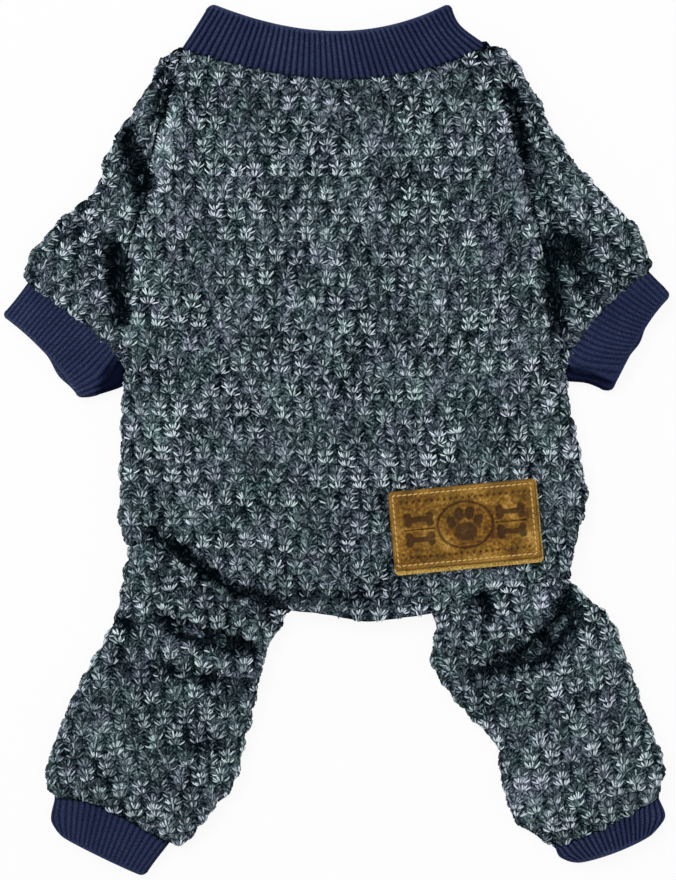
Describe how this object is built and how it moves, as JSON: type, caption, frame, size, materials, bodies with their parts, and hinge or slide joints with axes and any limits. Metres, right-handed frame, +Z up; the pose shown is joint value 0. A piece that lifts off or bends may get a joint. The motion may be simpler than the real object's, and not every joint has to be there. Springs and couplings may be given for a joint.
{
  "type": "dog pajamas",
  "caption": "Four-legged dog pajamas in chunky fan knit, with rib collar and cuffs and a leather hip patch, laid flat on the belly.",
  "frame": {"origin": "on the surface that the garment lies on, under the middle of its outline", "axes": "+Y from the tail hem to the neck, +X to the wearer's right, +Z up through the back panel"},
  "size_m": [0.28, 0.3654, 0.0128],
  "materials": {
    "knit": "chunky marled blue-grey knit",
    "rib": "navy rib knit",
    "leather": "waxed tan leather"
  },
  "bodies": {
    "root": {"back_panel": "knit", "belly_panel": "knit", "sleeve_left": "knit", "sleeve_right": "knit", "leg_left": "knit", "leg_right": "knit", "collar": "rib", "cuff_front_left": "rib", "cuff_front_right": "rib", "cuff_rear_left": "rib", "cuff_rear_right": "rib", "patch": "leather"}
  },
  "joints": []
}
